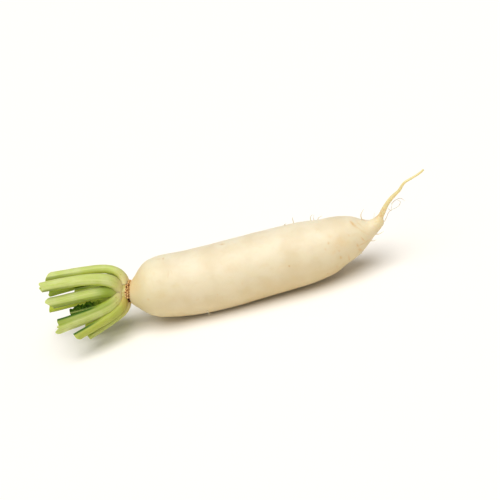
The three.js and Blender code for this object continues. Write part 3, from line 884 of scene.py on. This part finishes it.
def stalk_section(row, seed, share, turn, margin):
    """How far the skin lies across and outside the centre line, for each share of the length and each
    turn round the stalk."""
    length, (wide, thick, narrowing), wings = row[4:7]
    distance = length * share
    base = np.exp(-distance / BASE_LENGTH)
    taper = 1 - narrowing * share
    width = wide * (1 + BASE_WIDENING * base) * taper + 2 * margin
    thickness = thick * (1 - BASE_THINNING * base) * taper + 2 * margin
    c = np.cos(turn)
    s = np.sin(turn)
    wing = c**8 * np.where(c > 0, *wings) * share**3
    groove = GROOVE_DEPTH * thickness * near(c, 0, GROOVE_WIDTH) * np.abs(s)
    outer = OUTSIDE_SHARE * thickness * np.maximum(s, 0) ** 0.9
    inner = groove - (1 - OUTSIDE_SHARE) * thickness * np.maximum(-s, 0) ** 0.7
    wander = RIDGE_WANDER * np.sin(distance / 11 + seed)
    ribs = RIDGE_HEIGHT * rise(distance, *RIDGE_START) * np.sin(RIDGES * (turn + wander) + seed)
    ribs = ribs * (0.6 + 0.4 * np.sin(3 * turn + seed))
    across = width / 2 * c + np.sign(c) * wing + ribs * c
    outside = np.where(s >= 0, outer, inner) + ribs * s
    return across, outside


def stalk_fields(row, seed, share, turn):
    """What the material reads on the skin. Course: round the stalk, along it, and which stalk. Zone:
    inside, leafy and cut. Tone: painted shade all along, painted shade along one margin, and brown."""
    name = row[0]
    length, (wide, thick, _), wings = row[4:7]
    distance = length * share
    girth = (wide + thick) * 0.8
    c = np.cos(turn)
    inside = rise(-np.sin(turn), -0.5, 0.35)
    wing_breadth = np.where(c > 0, *wings)
    leaf_end = rise(share, 0.55 - 0.1 * wing_breadth, 0.9 - 0.06 * wing_breadth)
    leafy = rise(np.abs(c), 0.93, 0.995) * np.minimum(1, wing_breadth / LEAFY_WIDTH * leaf_end)
    painted_shade, painted_shade_base = SHADED_STALKS.get(name, (0, 0))
    painted_shade_here = painted_shade_base + (painted_shade - painted_shade_base) * rise(distance, 15, 32)
    # Painted shade along one margin of some stalks.
    margin_shade_here = rise(c * SHADED_MARGIN.get(name, 0), 0.5, 0.68)
    fields = {
        "course": [turn * girth, distance, 7.0 * seed],
        "zone": [inside, leafy, 0],
        "tone": [painted_shade_here, margin_shade_here, BROWN_BASE.get(name, 0)],
    }
    blank = 0 * (share + turn)
    return {key: np.stack([blank + part for part in parts], -1) for key, parts in fields.items()}


def stalk_body(row, margin=0.0):
    """A stalk: round outside, with a shallow groove along the inside, fine ribs and a knife-cut end. It
    is grown outwards by a margin when it is used to cut its neighbours."""
    name, degrees, start, course, length, _, _, cut = row
    seed = 1 + [other[0] for other in STALKS].index(name)
    share = np.linspace(0, 1, STALK_RINGS + 1)[:, None] ** RING_CROWDING
    turn = np.linspace(0, 2 * np.pi, STALK_SIDES + 1)[None]
    distance = length * share
    at, along, out = (axis[:, None] for axis in stalk_path(degrees, start, course, distance[:, 0]))
    side = np.cross(along, out)
    across, outside = stalk_section(row, seed, share, turn, margin)
    rings = at + side * across[..., None] + out * outside[..., None]
    swell = STALK_SWELL * rumple(rings, (16, 9, 9), seed)
    skinward = side * np.cos(turn)[..., None] + out * np.sin(turn)[..., None]
    rings = rings + skinward * swell[..., None]
    reaches = curve(np.array(cut[1:], float)[:, None], (np.cos(turn[0]) + 1) / 2)[:, 0]
    near_end = np.clip((distance - length) / CUT_LENGTH + 1, 0, 1)
    slant = near_end * (reaches + cut[0] * outside[-1] + margin)
    rings = rings + along * slant[..., None]
    fields = stalk_fields(row, seed, share, turn)
    if not margin:
        rings, fields = with_cut_face(rings, along[-1], fields)
    return loft(rings[:, :-1], fields)


def with_cut_face(rings, along, fields):
    """Adds the knife-cut end: a hair-fine bevel, then a face that has sunk a little in its middle."""
    rim = rings[-1]
    middle = rim[:-1].mean(0)
    share = 1 - CUT_BEVEL - 0.92 * np.arange(CAP_RINGS)[:, None, None] / CAP_RINGS
    sink = CUT_SINK + CUT_HOLLOW * (1 - share**2)
    sink[0] = -CUT_SINK / 2
    cap = middle + (rim - middle) * share - along * sink
    on_cap = {key: np.repeat(field[-1:], CAP_RINGS, 0) for key, field in fields.items()}
    zone = on_cap["zone"]
    zone[:2, :, 1] *= 0.5
    zone[2:, :, 1] = 0
    zone[0, :, 2] = 0.5
    zone[1:, :, 2] = 1
    fields = {key: np.concatenate([field, on_cap[key]]) for key, field in fields.items()}
    return np.concatenate([rings, cap]), fields


def cut_away(obj, cutters):
    """Takes the cutters' space out of obj, and leaves one body."""
    for cutter in cutters:
        modifier = obj.modifiers.new("cut", "BOOLEAN")
        modifier.operation = "DIFFERENCE"
        modifier.solver = "MANIFOLD"
        modifier.object = cutter
    graph = bpy.context.evaluated_depsgraph_get()
    made = bpy.data.meshes.new_from_object(obj.evaluated_get(graph))
    obj.modifiers.clear()
    made.name = obj.name
    obj.data = made
    keep_largest_body(made)
    made.shade_smooth()
    made.set_sharp_from_angle(angle=math.radians(42))


def keep_largest_body(mesh):
    work = bmesh.new()
    work.from_mesh(mesh)
    left = set(work.verts)
    groups = []
    while left:
        edge = [left.pop()]
        group = list(edge)
        while edge:
            vert = edge.pop()
            for link in vert.link_edges:
                other = link.other_vert(vert)
                if other in left:
                    left.remove(other)
                    edge.append(other)
                    group.append(other)
        groups.append(group)
    groups.sort(key=len)
    loose = [vert for group in groups[:-1] for vert in group]
    bmesh.ops.delete(work, geom=loose, context="VERTS")
    work.to_mesh(mesh)
    work.free()


def corners_of(obj):
    places = np.array([corner[:] for corner in obj.bound_box])
    return places.min(0), places.max(0)


def meet(a, b):
    """True if the boxes of two objects overlap."""
    (low_a, high_a), (low_b, high_b) = corners_of(a), corners_of(b)
    return bool((low_a < high_b).all() and (low_b < high_a).all())


def dressed_stalks():
    """Each stalk gives way to the crown and to the stalks listed before it."""
    material = leaf_stalk()
    cutters = [piece("cutter", [crown_body(STALK_GAP, 60, 120)])]
    made = []
    for row in STALKS:
        stalk = piece("leaf_" + row[0], [stalk_body(row)], material)
        cut_away(stalk, [cutter for cutter in cutters if meet(stalk, cutter)])
        cutters.append(piece("cutter", [stalk_body(row, STALK_GAP)]))
        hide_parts("stalk_" + row[0])
        made.append(stalk)
    return made, cutters


# Young leaf in the middle of the bundle: a thin stalk and a folded, lobed blade.
YOUNG_LEAF = (165, (18, 2), (60, 1, 9))
LEAF_STALK_LENGTH = 18
LEAF_STALK_RADIUS = 1.5
LEAF_BLADE_LENGTH = 37
LEAF_BLADE_WIDTH = 12
LEAF_TWIST = math.radians(95)  # turns the blade to face the near side
LEAF_THICKNESS = 0.6
LEAF_FOLD = 0.55
LEAF_WAVE = 1.2
LEAF_RINGS = 150
LEAF_PLACES = 29  # across each face
BLADE_OPENS = 0.08  # share of the blade over which it opens out of the stalk
BLADE_FOOT = (0.14, 0.36)  # shares of the blade between which its pale foot turns dark
CRINKLE_HEIGHT = 0.5
SMALL_CRINKLE_HEIGHT = 0.35
FOLD_HEIGHT = 0.9
SMALL_FOLD_HEIGHT = 0.5
VEIN_RHYTHM = 0.95  # radians of the side veins' rhythm per millimetre along the rib


def young_leaf_body():
    """A thin stalk that opens into a folded, crinkled blade with a rib and side veins."""
    length = LEAF_STALK_LENGTH + LEAF_BLADE_LENGTH
    distance = length * np.linspace(0, 1, LEAF_RINGS + 1)
    at, along, out = stalk_path(*YOUNG_LEAF, distance)
    side = np.cross(along, out)
    side, out = (
        side * math.cos(LEAF_TWIST) - out * math.sin(LEAF_TWIST),
        out * math.cos(LEAF_TWIST) + side * math.sin(LEAF_TWIST),
    )
    rib = LEAF_STALK_RADIUS * (1 - 0.5 * distance / length)
    on_blade = (distance - LEAF_STALK_LENGTH) / LEAF_BLADE_LENGTH
    opening = rise(on_blade, 0.0, BLADE_OPENS)[:, None]
    swell = np.sin(np.pi * np.clip(0.62 * on_blade + 0.2, 0, 1)) ** 0.7
    lobes = 1 + 0.12 * np.sin(19 * on_blade) + 0.09 * np.sin(53 * on_blade + 1)
    half = np.maximum(rib, LEAF_BLADE_WIDTH / 2 * swell * lobes * opening[:, 0])[:, None]
    across = np.linspace(-1, 1, LEAF_PLACES)[None]
    reach = np.abs(across)
    crinkle = CRINKLE_HEIGHT * np.sin(1.9 * distance)[:, None] * reach**1.5
    crinkle = crinkle + SMALL_CRINKLE_HEIGHT * np.sin(4.1 * distance + 3)[:, None] * reach**2
    wave = LEAF_WAVE * np.sin(0.8 * distance)[:, None] * across * reach + crinkle
    flat = at[:, None] + side[:, None] * (across * half)[..., None]
    folds = FOLD_HEIGHT * rumple(flat, 3.2, 6) + SMALL_FOLD_HEIGHT * rumple(flat, 1.3, 7)
    lift = opening * (LEAF_FOLD * half * reach + wave + folds)
    stem = rib[:, None] * np.sqrt(1 - 0.98 * across**2)
    blade = LEAF_THICKNESS / 2 * (1 - 0.6 * reach**4)
    skin = stem * (1 - opening) + blade * opening
    ridge = opening * 0.9 * rib[:, None] * near(across * half, 0, 0.9)

    def face(sign):
        height = lift + sign * skin - (ridge if sign < 0 else 0)
        return flat - out[:, None] * height[..., None]

    rings = np.concatenate([face(1), face(-1)[:, ::-1]], 1)
    ribbed = np.maximum(1 - opening, near(across * half, 0, 0.8))
    rhythm = np.sin(VEIN_RHYTHM * (distance[:, None] - 1.1 * reach * half))
    veins = opening * near(rhythm, 1, 0.12) * (1 - 0.5 * reach)
    foot = 1 - rise(on_blade, *BLADE_FOOT)[:, None] + 0 * veins
    blade_field = np.stack([ribbed, veins, foot], -1)
    both = np.concatenate([blade_field, blade_field[:, ::-1]], 1)
    both = np.concatenate([both, both[:, :1]], 1)
    return loft(rings, {"blade": both})


def dressed_leaf(cutters):
    made = piece("young_leaf_blade", [young_leaf_body()], leaf_blade())
    cut_away(made, [cutter for cutter in cutters if meet(made, cutter)])
    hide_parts("young_leaf")
    return made


# Stage

FLOOR_SIZE = 40
SUN_STRENGTH = 2.8
SUN_SOFTNESS = 60  # degrees across
SUN_HEIGHT = 74
SUN_SIDE = -12  # degrees from straight over the camera's side
SKY = 0.3
FLOOR_COLOUR = (0.95, 0.91, 0.85, 1)


def stage():
    work = bmesh.new()
    bmesh.ops.create_grid(work, x_segments=8, y_segments=8, size=FLOOR_SIZE / 2)
    mesh = bpy.data.meshes.new("floor")
    work.to_mesh(mesh)
    work.free()
    floor = bpy.data.objects.new("floor", mesh)
    bpy.context.collection.objects.link(floor)
    s = Shader("floor", Roughness=0.9, Specular_IOR_Level=0.1)
    s.main.inputs["Base Color"].default_value = FLOOR_COLOUR
    mesh.materials.append(s.material)
    floor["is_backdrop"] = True
    sun = bpy.data.objects.new("sun", bpy.data.lights.new("sun", "SUN"))
    sun.data.energy = SUN_STRENGTH
    sun.data.angle = math.radians(SUN_SOFTNESS)
    height = math.radians(SUN_HEIGHT)
    side = math.radians(SUN_SIDE)
    level = math.cos(height)
    towards = Vector((math.sin(side) * level, -math.cos(side) * level, math.sin(height)))
    sun.rotation_mode = "QUATERNION"
    sun.rotation_quaternion = towards.to_track_quat("Z", "Y")
    bpy.context.collection.objects.link(sun)
    world = bpy.data.worlds.new("sky")
    world.use_nodes = True
    background = world.node_tree.nodes["Background"]
    background.inputs["Color"].default_value = (1, 1, 1, 1)
    background.inputs["Strength"].default_value = SKY
    bpy.context.scene.world = world
    bpy.context.scene.view_settings.view_transform = "Standard"


def build():
    stage()
    made = [dressed_root(), hair_roots(), dressed_crown()]
    stalks, cutters = dressed_stalks()
    made += stalks
    made.append(dressed_leaf(cutters))
    for cutter in cutters:
        bpy.data.objects.remove(cutter)
    for obj in made:
        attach(obj, BODY)


build()

sizes = {"cad": cad_box, "visual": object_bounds()}
{name: [list(corner) for corner in box] for name, box in sizes.items()}
